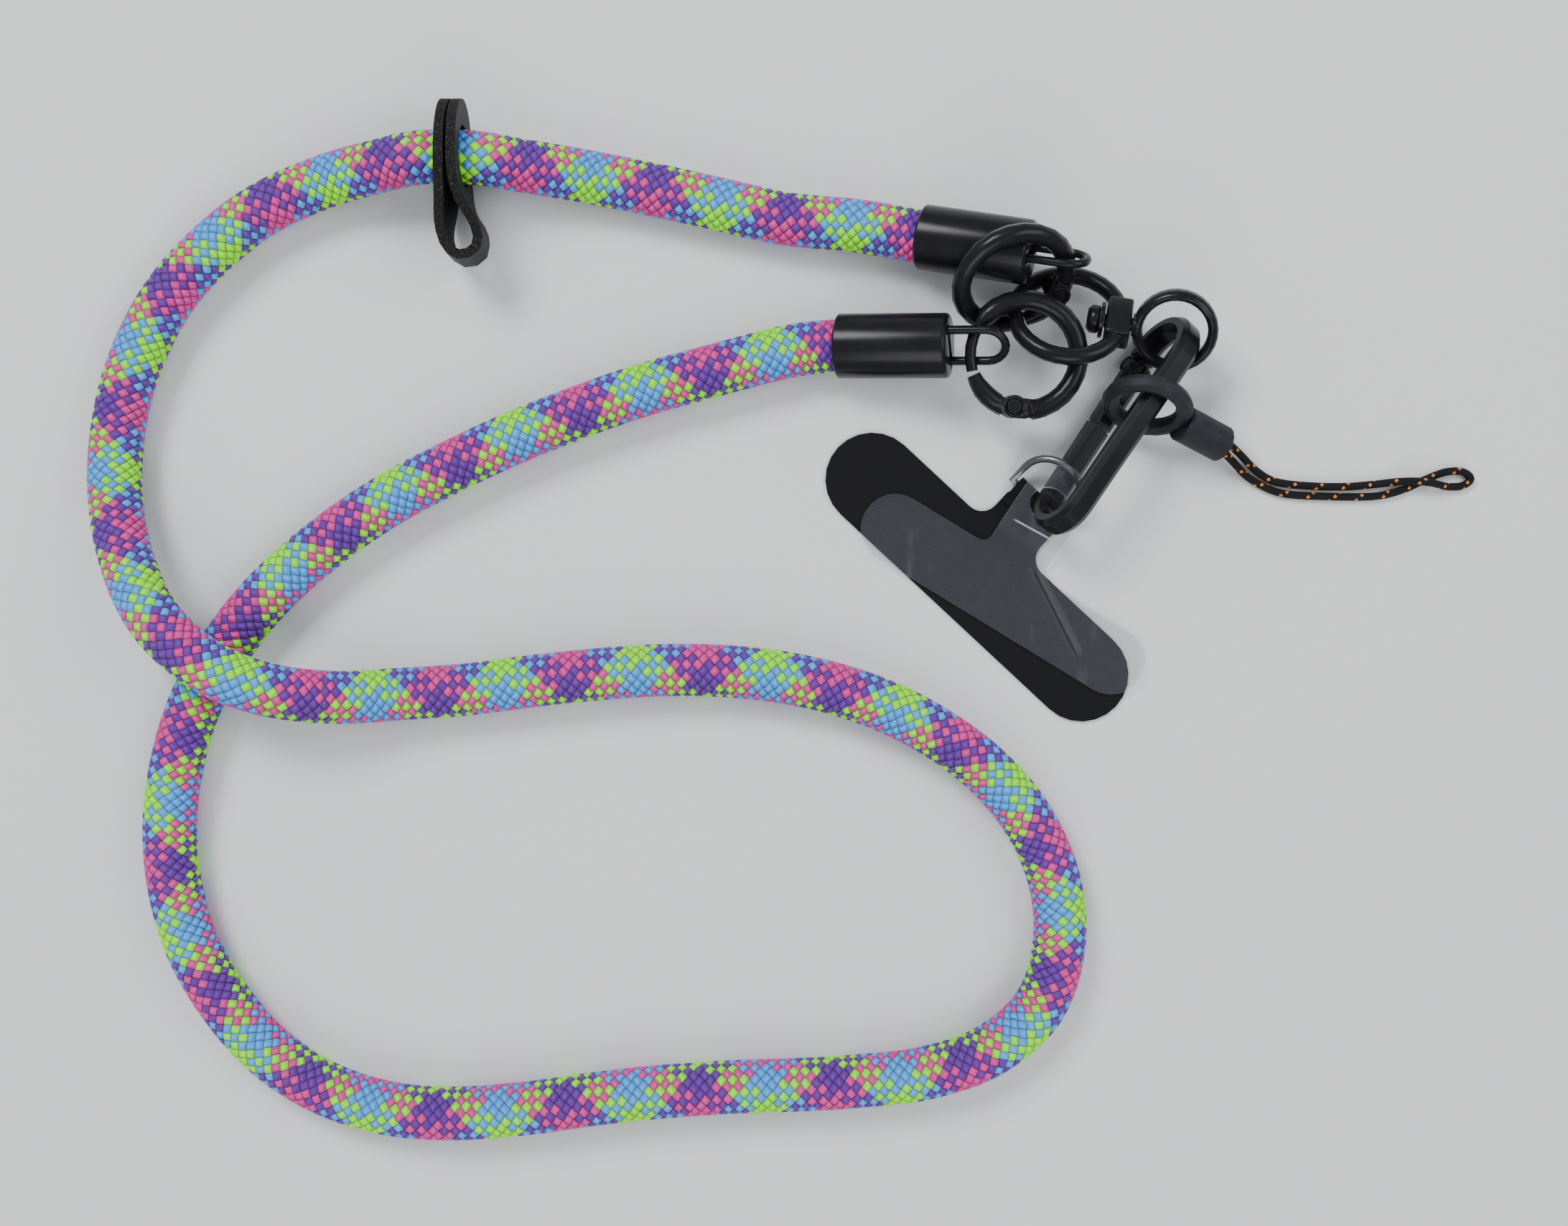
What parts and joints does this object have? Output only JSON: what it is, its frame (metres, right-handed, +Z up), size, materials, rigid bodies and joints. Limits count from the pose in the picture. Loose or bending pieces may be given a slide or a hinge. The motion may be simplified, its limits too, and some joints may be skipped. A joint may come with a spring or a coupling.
{
  "type": "phone crossbody strap",
  "caption": "Phone crossbody strap: braided multicolour rope with black end caps, spring rings, swivel, carabiner, rubber lanyard ring, phone tabs and a leather keeper",
  "frame": {"origin": "middle of the hardware and tabs (rope, cord and keeper not counted) at the table", "axes": "+X from the rope to the phone tabs, +Y along the hardware's longer way, +Z up"},
  "size_m": [0.2674, 0.1986, 0.0226],
  "materials": {
    "braid": "round braid of lime, sky blue, purple and pink strands",
    "black_metal": "satin black plating over cast metal, worn bright on the edges",
    "wire_metal": "gunmetal wire",
    "rubber": "matte blue-black rubber",
    "thin_cord": "thin black braided cord with orange flecks",
    "tab_sheet": "matte black coated fabric sheet",
    "clear_film": "clear bluish plastic film with soft wrinkles",
    "leather": "black leather with raw fibrous edges"
  },
  "bodies": {
    "strap": {"strap_rope": "braid", "ferrule_upper": "black_metal", "ferrule_lower": "black_metal", "bail_upper": "black_metal", "bail_lower": "black_metal", "ring_upper_body": "black_metal", "ring_upper_pin": "black_metal", "ring_lower_body": "black_metal", "ring_lower_pin": "black_metal", "swivel_loop": "black_metal", "carabiner_body": "black_metal", "carabiner_pin": "black_metal", "rubber_ring": "rubber", "phone_loop_cord": "thin_cord", "tab_black": "tab_sheet", "tab_d_ring": "wire_metal", "tab_clear": "clear_film", "leather_keeper": "leather"},
    "ring_upper_gate": {"ring_upper_gate": "black_metal"},
    "ring_lower_gate": {"ring_lower_gate": "black_metal"},
    "carabiner_gate": {"carabiner_gate": "black_metal"},
    "swivel_ring": {"swivel_ring": "black_metal"}
  },
  "joints": [
    {"name": "ring_upper_gate_hinge", "type": "hinge", "parent": "strap", "child": "ring_upper_gate", "pos_m": [0.00484, 0.03278, 0.00841], "axis": [-0.2284, 0.7047, -0.6718], "range_deg": [0, 7], "stiffness_Nm_per_rad": 0.02},
    {"name": "ring_lower_gate_hinge", "type": "hinge", "parent": "strap", "child": "ring_lower_gate", "pos_m": [-0.00377, 0.01056, 0.01082], "axis": [-0.0686, 0.0884, -0.9937], "range_deg": [0, 6], "stiffness_Nm_per_rad": 0.02},
    {"name": "carabiner_gate_hinge", "type": "hinge", "parent": "strap", "child": "carabiner_gate", "pos_m": [0.0208, 0.01836, 0.00302], "axis": [-0.742, 0.533, 0.4066], "range_deg": [0, 2.5], "stiffness_Nm_per_rad": 0.02},
    {"name": "swivel_turn", "type": "hinge", "parent": "strap", "child": "swivel_ring", "pos_m": [0.00688, 0.02806, 0.00958], "axis": [0.9803, -0.1608, 0.1145], "range_deg": [-10, 20]}
  ]
}
